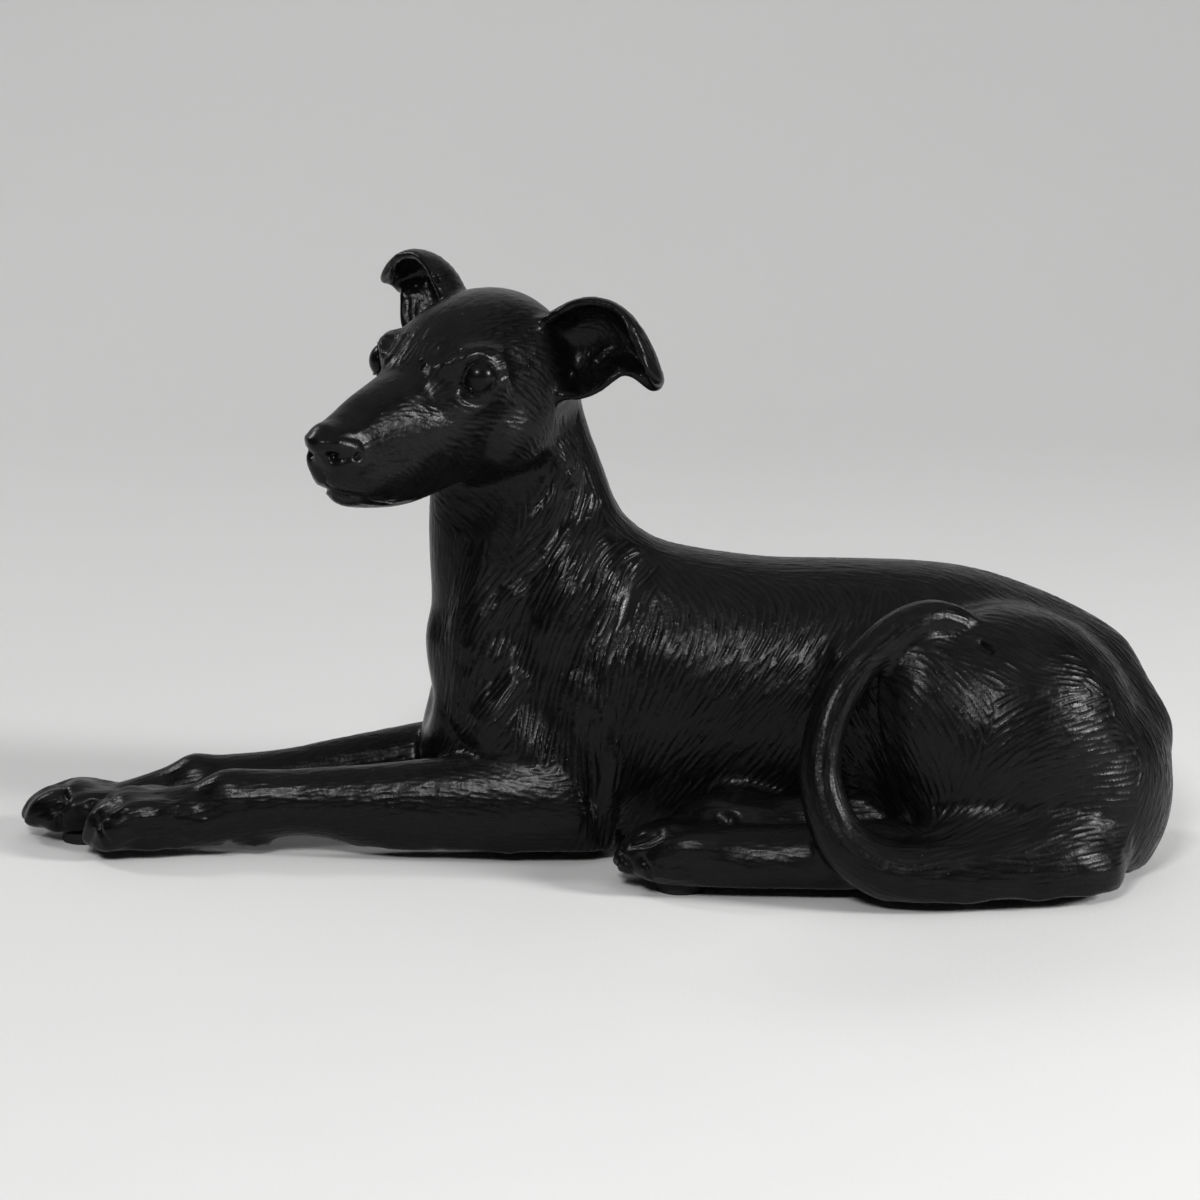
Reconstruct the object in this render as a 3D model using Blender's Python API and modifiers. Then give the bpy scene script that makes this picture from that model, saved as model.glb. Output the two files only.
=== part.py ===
# Black resin statue of a greyhound lying with its head turned, on stick-on pads.
# X runs from the fore paws to the rump, Y away from the side that the head looks to, Z up.
# Clay pieces are lofted along splines or shaped as lumps, fused by voxel remeshing, and cut flat below.
import math

import bmesh
import bpy
import numpy as np
from mathutils import Matrix, Vector

# Driving sizes, in metres
FIGURE_LENGTH = 0.280  # from the far fore paw's toes to the rump
PAD_DIAMETER = 0.012
PAD_THICKNESS = 0.0025
PAD_GAP = 0.0003  # between a pad and the underside that it is stuck to

# The figure's pose and proportions are written in shares of its length
SHARES_OF_LENGTH = 280
UNIT = FIGURE_LENGTH / SHARES_OF_LENGTH
UNDERSIDE = PAD_THICKNESS + PAD_GAP  # height of the flat that the casting is cut to

RING_POINTS = 28
STEPS_PER_SPAN = 5
FACES = 9200  # triangles left in the casting

# Places that more than one piece uses, in shares
HEAD_CENTRE = Vector((-27, -10, 118))
HEAD_TURN = math.radians(55)  # from straight ahead towards the viewer's side
HEAD_ROLL = math.radians(-3)
EYE = Vector((21, 13.3, 1.8))  # forward, outward and up from the head's centre
EYE_RADIUS = 4.4
EAR_ROOT = Vector((-2, 17.4, 1))
EAR_SWEEP = math.radians(125)  # from the muzzle's direction round to the ear's own
PAD_PLACES = ((-126, -5.5), (-15, -13), (19, -48.5), (116, -43), (104, 2))

collection = None


def start_scene():
    for obj in list(bpy.data.objects):
        bpy.data.objects.remove(obj)
    made = bpy.data.collections.new("greyhound_statue")
    bpy.context.scene.collection.children.link(made)
    return made


def resin_material():
    material = bpy.data.materials.new("black_resin")
    material.use_nodes = True
    shader = material.node_tree.nodes["Principled BSDF"]
    shader.inputs["Base Color"].default_value = (0.012, 0.012, 0.014, 1)
    shader.inputs["Roughness"].default_value = 0.42
    return material


def rubber_material():
    material = bpy.data.materials.new("pad_rubber")
    material.use_nodes = True
    shader = material.node_tree.nodes["Principled BSDF"]
    shader.inputs["Base Color"].default_value = (0.01, 0.01, 0.01, 1)
    shader.inputs["Roughness"].default_value = 0.85
    return material


def catmull_rom(before, start, end, after, t):
    """A value on the smooth curve from start to end, for numbers."""
    return 0.5 * (
        2 * start
        + (end - before) * t
        + (2 * before - 5 * start + 4 * end - after) * t**2
        + (3 * start - before - 3 * end + after) * t**3
    )


def smooth_rows(rows, steps):
    """Rows of numbers with more rows put between them on smooth curves."""
    made = []
    for i in range(len(rows) - 1):
        four = [rows[max(i - 1, 0)], rows[i], rows[i + 1], rows[min(i + 2, len(rows) - 1)]]
        for step in range(steps):
            made.append([catmull_rom(*column, step / steps) for column in zip(*four)])
    made.append(list(rows[-1]))
    return made


def loft(clay, rows, up=(0, 0, 1), placed=None, steps=STEPS_PER_SPAN, points=RING_POINTS):
    """A tube through rows of (x, y, z, half width, half height), closed at both ends."""
    placed = placed or Matrix.Identity(4)
    rows = smooth_rows(rows, steps)
    centres = [Vector(row[:3]) for row in rows]
    rings = []
    for i, row in enumerate(rows):
        ahead = centres[min(i + 1, len(rows) - 1)] - centres[max(i - 1, 0)]
        side = ahead.cross(Vector(up)).normalized()
        above = side.cross(ahead).normalized()
        ring = []
        for k in range(points):
            angle = math.tau * k / points
            across = side * max(row[3], 0.3) * math.cos(angle)
            over = above * max(row[4], 0.3) * math.sin(angle)
            ring.append(clay.verts.new(placed @ (centres[i] + across + over)))
        rings.append(ring)
    for first, second in zip(rings, rings[1:]):
        for k in range(points):
            after = (k + 1) % points
            clay.faces.new((first[k], first[after], second[after], second[k]))
    clay.faces.new(list(reversed(rings[0])))
    clay.faces.new(rings[-1])


def lump(clay, centre, radii, turn=(0, 0, 0), placed=None):
    """An ellipsoid with its radii along X, Y and Z, turned by degrees about X, then Y, then Z."""
    placed = placed or Matrix.Identity(4)
    about_x, about_y, about_z = (math.radians(angle) for angle in turn)
    spun = (
        Matrix.Rotation(about_z, 4, "Z")
        @ Matrix.Rotation(about_y, 4, "Y")
        @ Matrix.Rotation(about_x, 4, "X")
    )
    matrix = placed @ Matrix.Translation(centre) @ spun @ Matrix.Diagonal((*radii, 1))
    bmesh.ops.create_uvsphere(clay, u_segments=24, v_segments=16, radius=1, matrix=matrix)


def fuse(name, clay, voxel, smoothing, finished=None):
    """One skin round all of the clay: a voxel remesh, then a smoothing that fills the creases."""
    bmesh.ops.recalc_face_normals(clay, faces=clay.faces)
    if finished:
        clay.from_mesh(finished.data)
        bpy.data.objects.remove(finished)
    mesh = bpy.data.meshes.new(name)
    clay.to_mesh(mesh)
    clay.free()
    obj = bpy.data.objects.new(name, mesh)
    collection.objects.link(obj)
    remesh = obj.modifiers.new("fuse", "REMESH")
    remesh.mode = "VOXEL"
    remesh.voxel_size = voxel
    smooth = obj.modifiers.new("smooth", "SMOOTH")
    smooth.iterations = smoothing
    smooth.factor = 0.5
    apply_modifiers(obj)
    return obj


def apply_modifiers(obj):
    graph = bpy.context.evaluated_depsgraph_get()
    graph.update()
    mesh = bpy.data.meshes.new_from_object(obj.evaluated_get(graph))
    obj.modifiers.clear()
    obj.data = mesh


def head_place():
    turn = Matrix.Rotation(math.pi + HEAD_TURN, 4, "Z")
    return Matrix.Translation(HEAD_CENTRE) @ turn @ Matrix.Rotation(HEAD_ROLL, 4, "X")


def stroke(obj, points, radius, depth, placed=None):
    """Presses a groove into the skin along a smooth line; a depth below zero raises a ridge."""
    placed = placed or Matrix.Identity(4)
    line = [np.array(placed @ Vector(row)) for row in smooth_rows(points, STEPS_PER_SPAN)]
    skin = obj.data
    places = np.empty(len(skin.vertices) * 3, dtype=np.float32)
    skin.vertices.foreach_get("co", places)
    places = places.reshape(-1, 3)
    low = np.min(line, axis=0) - radius
    high = np.max(line, axis=0) + radius
    near = np.flatnonzero(np.all((places > low) & (places < high), axis=1))
    away = np.full(len(near), np.inf)
    for a, b in zip(line, line[1:]):
        span = b - a
        share = np.clip((places[near] - a) @ span / max(span @ span, 1e-9), 0, 1)
        gap = np.linalg.norm(places[near] - a - share[:, None] * span, axis=1)
        away = np.minimum(away, gap)
    for index, gap in zip(near.tolist(), away.tolist()):
        if gap < radius:
            share = 1 - (gap / radius) ** 2
            places[index] -= np.array(skin.vertices[index].normal) * depth * share * share
    skin.vertices.foreach_set("co", places.ravel())
    skin.update()


def add_trunk(clay):
    # (x, y, top, bottom, half width)
    sections = [
        (-42, -2, 50, 38, 4),
        (-39, -2, 62, 26, 12),
        (-31, -1, 72, 10, 19),
        (-18, 0, 76, -2, 23),
        (0, 0, 76, -4, 25),
        (20, 0, 72, -4, 27),
        (40, -2, 70, -4, 28),
        (60, -5, 70.3, -4, 28),
        (80, -9, 70.1, -4, 29),
        (94, -12, 66.7, -4, 29),
        (107, -16, 61.2, -4, 27),
        (117, -20.5, 53.5, -4, 23),
        (124, -23.5, 43, 1, 16.5),
        (127.5, -25, 33, 5, 9),
    ]
    rows = [(x, y, (top + low) / 2, wide, (top - low) / 2) for x, y, top, low, wide in sections]
    loft(clay, rows)


def add_neck(clay):
    throat = [
        (-12, 0, 38, 22, 26),
        (-15, 0, 56, 20, 26),
        (-18, 0, 72, 17, 24),
        (-19.5, 0, 84, 15.5, 22.5),
        (-21.2, -1, 97, 14.5, 19.8),
        (-21.8, -2, 110, 14, 16.7),
        (-22.5, -3, 120, 13, 14),
    ]
    loft(clay, throat, up=(1, 0, 0))
    nape = [
        (-14, -1, 122, 6, 5),
        (-12.5, -2, 110, 8, 6),
        (-10, -2, 98, 9, 6.6),
        (-6, -1, 86, 10, 7),
        (2, 0, 73.5, 12, 7.2),
        (16, 0, 65, 13, 7),
        (30, 0, 62, 12, 6),
    ]
    loft(clay, nape, up=(1, 0, 0))


def add_shoulder(clay, side):
    """Blade, upper arm and neck muscle of one side; side is -1 where the head looks to."""
    upper_arm = [
        (-24, side * 13, 50, 8, 8),
        (-27, side * 15, 40, 9, 9),
        (-20, side * 18, 27, 9.5, 11),
        (-8, side * 20, 16, 9, 12),
        (0, side * 21, 11, 7, 9),
    ]
    loft(clay, upper_arm, up=(1, 0, 1))
    triceps = [
        (4, side * 14, 62, 4, 8),
        (2, side * 18, 50, 7, 11),
        (-1, side * 20.5, 34, 7.5, 12),
        (-2, side * 22, 20, 8, 11),
        (-1, side * 22, 12, 6, 8),
    ]
    loft(clay, triceps, up=(1, 0, 0))
    blade = [
        (-2, side * 9, 78, 6, 8),
        (-5, side * 13, 68, 8, 11),
        (-9, side * 15.5, 56, 8, 12),
        (-16, side * 16, 45, 7, 9),
    ]
    loft(clay, blade, up=(1, 0, 0))
    neck_muscle = [
        (-12, side * 12, 100, 5, 7),
        (-17, side * 13, 86, 5, 8),
        (-24, side * 14, 70, 5.5, 7),
        (-31, side * 13, 54, 6, 6),
        (-34, side * 12, 44, 5, 5),
    ]
    loft(clay, neck_muscle, up=(1, 0, 0))


def add_rump(clay):
    lump(clay, (95, -34, 31), (33, 28, 34))  # near thigh
    lump(clay, (107, -28, 20), (30, 31, 31))  # buttock
    lump(clay, (78, -40, 36), (15, 19, 30), (0, -14, 0))  # near knee
    lump(clay, (61, -30, 28), (8, 13, 27), (0, -4, 0))  # far knee beside it
    lump(clay, (103, -20, 18), (32.5, 37, 32))  # seat
    lump(clay, (92, -56, 7), (31, 15, 15))  # underside of the thigh, running into the tail
    lump(clay, (92, 1, 18), (34, 23, 30))  # far hip, lying on the floor


def add_head(clay):
    place = head_place()
    # (forward, half width, top, bottom)
    sections = [
        (63, 2, -10.5, -17),
        (62, 4.5, -7.4, -18.6),
        (60, 6.3, -6, -20),
        (56, 7.6, -4.2, -23),
        (50, 8.4, -1.6, -27),
        (43, 9.4, 0.5, -28.6),
        (35, 11.2, 2.6, -29.2),
        (28, 13, 4.5, -28.5),
        (21, 15, 10, -28),
        (13, 17, 16, -28),
        (5, 18.5, 18.6, -28),
        (-4, 19, 18.6, -27),
        (-13, 17.5, 16, -24),
        (-21, 13, 10, -17),
        (-26, 6, 3, -8),
    ]
    rows = [(x, 0, (top + low) / 2, wide, (top - low) / 2) for x, wide, top, low in sections]
    loft(clay, rows, placed=place)
    for side in (1, -1):
        lump(clay, (20.5, side * 11.8, 1.4), (9.5, 4.8, 8), (0, 0, side * -38), place)  # orbit
        brow = [
            (29.5, side * 6.5, 2.5, 1.5, 1.5),
            (26.5, side * 10.8, 6.4, 1.8, 1.8),
            (20, side * 13.6, 7.6, 1.8, 1.8),
            (13, side * 15, 6.6, 1.4, 1.4),
        ]
        loft(clay, brow, placed=place, steps=4, points=12)
        cheekbone = [
            (31, side * 9, -4, 1.8, 1.8),
            (25, side * 12.9, -5.2, 2, 2),
            (16, side * 15.3, -4.6, 2, 2),
            (7, side * 17.2, -4, 1.6, 1.6),
        ]
        loft(clay, cheekbone, placed=place, steps=4, points=12)
        lump(clay, (4, side * 13.5, -12), (14, 6.5, 11), (0, 20, 0), place)  # cheek
        lump(clay, (43, side * 5, -18), (16.5, 4.8, 7.5), (0, 6, side * -7), place)  # flews
        lump(clay, (58.5, side * 3.6, -12.5), (3.8, 3, 4), (0, -10, 0), place)  # nostril wing
    lump(clay, (60.6, 0, -10), (3.2, 5.6, 4.6), (0, -12, 0), place)  # nose pad
    lump(clay, (48.5, 0, -23), (8.5, 5.5, 4.2), placed=place)  # chin


def add_eyes(clay):
    """Eyeballs that look forwards and outwards, each in a ring of lids."""
    place = head_place()
    for side in (1, -1):
        centre = Vector((EYE.x, side * EYE.y, EYE.z))
        lump(clay, centre, (EYE_RADIUS, EYE_RADIUS, EYE_RADIUS), placed=place)
        gaze = Vector((0.68, side * 0.72, 0.12)).normalized()
        across = gaze.cross(Vector((0, 0, 1))).normalized()
        upwards = across.cross(gaze)
        lids = []
        for k in range(13):
            angle = math.tau * k / 12
            rim = across * (4.5 * math.cos(angle)) + upwards * (3.9 * math.sin(angle))
            lids.append((*(centre + gaze * 1.5 + rim), 0.95, 0.95))
        loft(clay, lids, up=gaze, placed=place, steps=2, points=10)


def ear_place(side, lift, rise):
    flip = Matrix.Diagonal((1, side, 1, 1))
    turn = Matrix.Rotation(EAR_SWEEP, 4, "Z") @ Matrix.Rotation(-lift, 4, "Y")
    return head_place() @ flip @ Matrix.Translation(EAR_ROOT + Vector((0, 0, rise))) @ turn


def add_ear(clay, side, lift, rise=0):
    """A cupped leaf, open to the front, its upper edge folded over and its tip hanging."""
    # ribs from the skull to the tip, each from the upper edge round the back to the lower edge:
    # (outward, back, up)
    ribs = [
        [(-5, 1, 9), (-5, 4, 9), (-5, 7, 6), (-4, 8, 0), (-3, 5, -5), (-1, -1, -6)],
        [(4, -3, 16), (4, 2, 16), (4, 8.5, 10), (4, 9, 0), (5, 4, -5.5), (6, -4, -6.5)],
        [(9.5, -4, 17.3), (9.5, 2, 17.3), (9, 8, 11), (9, 8, 2), (9.5, 4, -3.5), (9.5, -5, -5)],
        [(15, -6, 15.8), (14.5, -1, 17), (13.5, 6, 12), (13, 7, 5), (13, 3, -1), (13.5, -6, -2.5)],
        [(18, -8, 12), (18.5, -3, 14.6), (17.5, 4, 11), (17, 5, 6), (16.5, 2, 2.5), (16.5, -5, 1)],
        [(20, -9, 6.5), (21.8, -4, 10.4), (21, 2, 8), (20, 3, 4.5), (19, 1, 1.8), (19, -4.5, -0.3)],
        [(22, -9, 1), (24.5, -4, 4.2), (24.3, 1, 2), (23, 2, 0), (22.3, 1, -1.8), (22, -3, -2.6)],
        [(25, -7, -3.5), (26.5, -4, -2.5), (26.4, -1, -3.5), (25.8, 0, -4.5), (25.4, -1, -5.3), (25.2, -3, -5.5)],
    ]
    place = ear_place(side, lift, rise)
    sheet = bmesh.new()
    rows = [[sheet.verts.new(place @ Vector(point)) for point in rib] for rib in ribs]
    for first, second in zip(rows, rows[1:]):
        for k in range(len(first) - 1):
            sheet.faces.new((first[k], first[k + 1], second[k + 1], second[k]))
    mesh = bpy.data.meshes.new("ear")
    sheet.to_mesh(mesh)
    sheet.free()
    obj = bpy.data.objects.new("ear", mesh)
    collection.objects.link(obj)
    subdivide = obj.modifiers.new("soften", "SUBSURF")
    subdivide.levels = subdivide.render_levels = 2
    thicken = obj.modifiers.new("thickness", "SOLIDIFY")
    thicken.thickness = 2.4
    thicken.offset = 0
    apply_modifiers(obj)
    clay.from_mesh(obj.data)
    bpy.data.objects.remove(obj)


def add_paw(clay, tip, heading, height, skew=0.0):
    """Four toes side by side with their claws, the outer two further back, over a heel pad."""
    turn = Matrix.Translation(tip) @ Matrix.Rotation(math.radians(heading), 4, "Z")
    turn = turn @ Matrix.Diagonal((1, 1, height, 1))
    for out, set_back in ((-7, 4), (-2.5, 0), (2.5, 0), (7, 4)):
        back = set_back - skew * out
        toe = [
            (back + 26, out * 0.6, 8, 3.4, 4.5),
            (back + 17, out * 0.85, 10.5, 3.5, 4.8),
            (back + 11, out, 11, 3.3, 4.8),
            (back + 6, out * 1.02, 8.5, 3.1, 4.4),
            (back + 3, out * 1.03, 5.5, 2.9, 3.8),
            (back + 1, out * 1.03, 4.5, 2, 2.6),
        ]
        loft(clay, toe, placed=turn, steps=3, points=14)
        lump(clay, (back + 1, out * 1.03, 4.6), (3, 1.1, 1.5), (0, -25, 0), turn)
    lump(clay, (16, 0, 4), (11, 8.5, 4), placed=turn)


def add_forelegs(clay):
    near = [
        (4, -23, 11, 6, 9),
        (-6, -23, 11.5, 9, 14),
        (-24, -22, 11.5, 9.5, 14.5),
        (-45, -21, 11.5, 8.5, 12.5),
        (-56, -20.5, 12.2, 8, 10.6),
        (-66, -20, 13.2, 7.4, 8.8),
        (-76, -20, 13, 7, 8.2),
        (-87, -20, 12, 7.5, 9.4),
        (-96, -20, 9.5, 7.2, 8.5),
        (-106, -20, 8.5, 7.2, 8),
        (-112, -20, 8, 5, 5),
    ]
    loft(clay, near)
    lump(clay, (-83, -21, 4), (4, 3, 4))  # carpal pad
    add_paw(clay, (-125, -20, 0), heading=0, height=1.02)
    far = [
        (2, 22, 13, 6, 9),
        (-8, 21, 14, 9, 13),
        (-26, 17, 14.5, 9, 13),
        (-45, 12.5, 13.5, 8.5, 11.5),
        (-62, 8.5, 12.6, 7.5, 10),
        (-78, 4.5, 11.5, 7, 8.6),
        (-94, 1, 11, 7.5, 8.4),
        (-106, -1, 9.5, 7, 7.4),
        (-118, -3, 7.5, 7, 5.6),
        (-126, -4, 6, 5, 5),
    ]
    loft(clay, far)
    lump(clay, (-97, 1, 14.5), (7, 4.5, 4.5), (0, 8, 0))  # wrist
    add_paw(clay, (-142, -4.5, 1), heading=4, height=0.8, skew=0.3)


def add_hind_feet(clay):
    near = [
        (96, -52, 10, 9, 10),
        (76, -54, 9, 9, 10),
        (56, -54, 8.5, 9, 9),
        (36, -53, 8, 8.5, 8.5),
        (22, -52, 8, 8.5, 8.5),
        (14, -52, 8, 6, 6),
    ]
    loft(clay, near)
    add_paw(clay, (3.5, -48, 1.5), heading=-8, height=0.94, skew=0.4)
    far = [
        (80, -38, 12, 7, 9),
        (60, -38, 12, 7, 8.5),
        (44, -37.5, 12, 6.5, 7.5),
        (34, -37, 12.5, 6, 6.5),
    ]
    loft(clay, far)
    add_paw(clay, (15.5, -37, 6), heading=0, height=0.85)
    lump(clay, (25, -40, 15), (6.5, 5.5, 5))  # knuckle under the near foot's edge


def add_tail(clay):
    # (x, y, z, half width, half height)
    path = [
        (114, -44, 12, 14, 14),
        (104, -54, 10, 13, 13),
        (91, -61.5, 8.5, 10.5, 10.5),
        (77, -65, 8, 8.5, 8.5),
        (64, -66, 10, 7, 7),
        (54.5, -64.5, 17.5, 6, 6),
        (50.5, -61, 30, 5.2, 5.2),
        (52.5, -57, 43, 4.9, 4.9),
        (58.5, -52.5, 53, 4.7, 4.7),
        (67, -48, 60.5, 4.7, 4.7),
        (75, -44.5, 63.6, 4.8, 4.8),
        (82, -42, 62.4, 4.6, 4.4),
        (87.5, -41, 59.6, 3.4, 3.2),
        (91, -40.5, 57.2, 1.4, 1.4),
    ]
    loft(clay, path, up=(0, 1, 0))


def carve_face(figure):
    """Corners of the eyes, nostrils, mouth and the groove over the lip."""
    place = head_place()
    for side in (1, -1):
        stroke(figure, [(29, side * 8.5, 1), (32, side * 8.5, -3)], 4, 1.2, place)
        nostril = [(63, side * 2.4, -13), (61.5, side * 4.4, -13.6), (59.5, side * 6, -12.4)]
        stroke(figure, nostril, radius=1.7, depth=1.4, placed=place)
        mouth = [
            (59, side * 0.5, -21.5),
            (55, side * 5, -23.3),
            (48, side * 8, -24.5),
            (38, side * 10.5, -24),
            (30, side * 13.5, -21.5),
        ]
        stroke(figure, mouth, radius=1.8, depth=1.2, placed=place)
    stroke(figure, [(63.5, 0, -12), (62.5, 0, -17), (60, 0, -21.5)], 1.5, 0.9, place)


def carve_creases(figure):
    """The deep folds of the body: behind the elbow, before the thigh, under the tail's tip."""
    stroke(figure, [(-2, -29, 32), (-1, -30, 20), (2, -30, 6)], radius=5, depth=2.4)
    stroke(figure, [(63, -47, 54), (62, -48, 42), (66, -52, 27), (74, -56, 16)], radius=3, depth=2.4)
    stroke(figure, [(-14, -19, 92), (-22, -17, 78), (-24, -22, 62), (-17, -25, 48)], 7, 1.6)
    stroke(figure, [(-26, -23, 44), (-31, -20, 36)], radius=6, depth=1.8)
    stroke(figure, [(8, -16, 72), (12, -24, 58), (9, -29, 44), (4, -31, 34)], radius=6, depth=1.2)
    stroke(figure, [(91, -44, 59), (100, -40, 57)], radius=2.5, depth=1.2)


def carve_ruff(figure):
    """Broad locks of fur that fall from the nape over the shoulder."""
    for k in range(9):
        lean = k / 8
        top = Vector((-14 + 14 * lean, -15 + 1.5 * lean, 96 - 14 * lean))
        low = Vector((-22 + 27 * lean, -24 - 4 * lean, 52 + 4 * lean))
        bow = Vector((2.5, -4, 0))
        line = [top.lerp(low, t) + bow * (4 * t * (1 - t)) for t in (0, 0.33, 0.67, 1)]
        stroke(figure, line, radius=1.8, depth=0.7)


def cut_flat(obj):
    """Cuts the casting off at its flat underside and closes it there."""
    shape = bmesh.new()
    shape.from_mesh(obj.data)
    everything = shape.verts[:] + shape.edges[:] + shape.faces[:]
    bmesh.ops.bisect_plane(
        shape,
        geom=everything,
        dist=1e-6,
        plane_co=(0, 0, UNDERSIDE / UNIT),
        plane_no=(0, 0, -1),
        clear_outer=True,
    )
    rim = [edge for edge in shape.edges if edge.is_boundary]
    bmesh.ops.triangle_fill(shape, edges=rim, use_beauty=True, normal=(0, 0, -1))
    bmesh.ops.recalc_face_normals(shape, faces=shape.faces)
    shape.to_mesh(obj.data)
    shape.free()


def thin_out(obj, faces):
    """Fewer faces, with the flat stretches thinned first."""
    loose = obj.modifiers.new("thin out", "DECIMATE")
    loose.ratio = faces / sum(len(face.vertices) - 2 for face in obj.data.polygons)
    apply_modifiers(obj)


def model_figure():
    clay = bmesh.new()
    add_trunk(clay)
    add_neck(clay)
    add_shoulder(clay, side=-1)
    add_shoulder(clay, side=1)
    add_rump(clay)
    masses = fuse("masses", clay, voxel=1.8, smoothing=12)

    clay = bmesh.new()
    add_head(clay)
    add_forelegs(clay)
    add_hind_feet(clay)
    add_tail(clay)
    add_ear(clay, side=1, lift=math.radians(2))
    add_ear(clay, side=-1, lift=math.radians(32), rise=1.6)
    limbs = fuse("limbs", clay, voxel=1.1, smoothing=4, finished=masses)

    clay = bmesh.new()
    add_eyes(clay)
    figure = fuse("greyhound", clay, voxel=0.9, smoothing=1, finished=limbs)
    carve_creases(figure)
    carve_ruff(figure)
    carve_face(figure)
    thin_out(figure, FACES)
    cut_flat(figure)
    return figure


def add_pad(number, x, y):
    bpy.ops.mesh.primitive_cylinder_add(
        vertices=32,
        radius=PAD_DIAMETER / 2,
        depth=PAD_THICKNESS,
        location=(x * UNIT, y * UNIT, PAD_THICKNESS / 2),
    )
    pad = bpy.context.active_object
    pad.name = f"pad_{number}"
    pad.data.materials.append(rubber_material())
    for owner in list(pad.users_collection):
        owner.objects.unlink(pad)
    collection.objects.link(pad)
    return pad


def middle_of(obj):
    """The middle of the figure's box, in shares, on the floor."""
    corners = [Vector(corner) for corner in obj.bound_box]
    low_x, high_x = min(c.x for c in corners), max(c.x for c in corners)
    low_y, high_y = min(c.y for c in corners), max(c.y for c in corners)
    return Vector(((low_x + high_x) / 2, (low_y + high_y) / 2, 0))


def main():
    global collection
    collection = start_scene()
    figure = model_figure()
    middle = middle_of(figure)
    figure.data.transform(Matrix.Scale(UNIT, 4) @ Matrix.Translation(-middle))
    figure.data.materials.append(resin_material())
    for number, (x, y) in enumerate(PAD_PLACES, start=1):
        add_pad(number, x - middle.x, y - middle.y)


main()
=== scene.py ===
# Greyhound statue: the casting's carved skin, its eyes and pads, a pale floor and soft light
import math

import bpy
import numpy as np
from mathutils import Matrix, Vector
from mathutils.bvhtree import BVHTree
from mathutils.kdtree import KDTree


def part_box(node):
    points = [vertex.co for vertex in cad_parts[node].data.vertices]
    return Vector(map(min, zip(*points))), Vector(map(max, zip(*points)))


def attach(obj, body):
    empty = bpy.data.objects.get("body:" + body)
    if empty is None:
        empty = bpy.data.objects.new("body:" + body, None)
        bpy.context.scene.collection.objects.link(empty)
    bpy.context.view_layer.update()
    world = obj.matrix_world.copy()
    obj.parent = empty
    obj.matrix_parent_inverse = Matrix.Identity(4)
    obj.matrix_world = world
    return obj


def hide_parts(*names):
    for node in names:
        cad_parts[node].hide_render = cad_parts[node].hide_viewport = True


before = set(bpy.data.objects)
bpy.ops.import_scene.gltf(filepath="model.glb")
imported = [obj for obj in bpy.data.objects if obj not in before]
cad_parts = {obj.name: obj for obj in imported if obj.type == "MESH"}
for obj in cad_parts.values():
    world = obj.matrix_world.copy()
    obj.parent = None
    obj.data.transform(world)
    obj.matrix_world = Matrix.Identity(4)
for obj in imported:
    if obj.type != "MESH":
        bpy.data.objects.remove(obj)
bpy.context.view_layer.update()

mm = 0.001

# The figure is carved in the millimetres it was drawn in; the first pad tells where their origin lies
drawing = {
    "firstPad": (-126, -5.5),
    "headCentre": (-27, -10, 118),
    "headTurn": 55,  # degrees from straight ahead towards the viewer's side
    "headRoll": -3,
}
padLow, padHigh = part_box("pad_1")
origin = np.array([
    (padLow[0] + padHigh[0]) / 2 / mm - drawing["firstPad"][0],
    (padLow[1] + padHigh[1]) / 2 / mm - drawing["firstPad"][1],
    0.0,
])


def at(x, y, z):  # a drawn place, in the frame's metres
    return Vector((x + origin[0], y + origin[1], z)) * mm


def headPlace():
    turn = Matrix.Rotation(math.pi + math.radians(drawing["headTurn"]), 4, "Z")
    roll = Matrix.Rotation(math.radians(drawing["headRoll"]), 4, "X")
    return Matrix.Translation(drawing["headCentre"]) @ turn @ roll


headMatrix = headPlace()


def onHead(point):  # a place given forward, outward and up from the head's centre
    return np.array(headMatrix @ Vector(point))


def selectOnly(obj):
    bpy.ops.object.select_all(action="DESELECT")
    obj.select_set(True)
    bpy.context.view_layer.objects.active = obj


def applyAll(obj):
    selectOnly(obj)
    for modifier in list(obj.modifiers):
        bpy.ops.object.modifier_apply(modifier=modifier.name)


# The skin: a copy of the casting, softened, meshed finely, carved, and parted where it gets too heavy

skinSettings = {
    "mergeWithin": 1e-6,  # metres
    "cutWithin": 1e-8,
    "softenLevels": 2,
    "headVoxel": 0.43,  # mm
    "bodyVoxel": 0.48,
    "farVoxel": 0.9,
    "smoothing": 9,
    "smoothFactor": 0.5,
    "neckHeight": 84,  # the head's piece lies above, the body's below
    "overlap": 1.5,
    "headCut": 3,  # forward of the head's centre, between eyes and ears
    "farSide": 8,  # along Y, from where the body is meshed more coarsely
    "bodyCuts": (-42, 4, 42, 78, 102),  # along X
    "underside": 2.86,  # the flat underside is one face
    "smoothUnder": 60,  # degrees between faces that are still shaded as one
}


def castingCopy(name):
    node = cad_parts["greyhound"]
    obj = bpy.data.objects.new(name, node.data.copy())
    bpy.context.scene.collection.objects.link(obj)
    selectOnly(obj)
    bpy.ops.object.mode_set(mode="EDIT")
    bpy.ops.mesh.select_all(action="SELECT")
    bpy.ops.mesh.remove_doubles(threshold=skinSettings["mergeWithin"])
    bpy.ops.object.mode_set(mode="OBJECT")
    soften = obj.modifiers.new("soften", "SUBSURF")
    soften.levels = soften.render_levels = skinSettings["softenLevels"]
    applyAll(obj)
    return obj


def cutOff(obj, place, away):  # takes away what lies on the side that away points to
    selectOnly(obj)
    bpy.ops.object.mode_set(mode="EDIT")
    bpy.ops.mesh.select_all(action="SELECT")
    bpy.ops.mesh.bisect(
        plane_co=place, plane_no=away, use_fill=True, clear_outer=True, threshold=skinSettings["cutWithin"],
    )
    bpy.ops.object.mode_set(mode="OBJECT")


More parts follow.
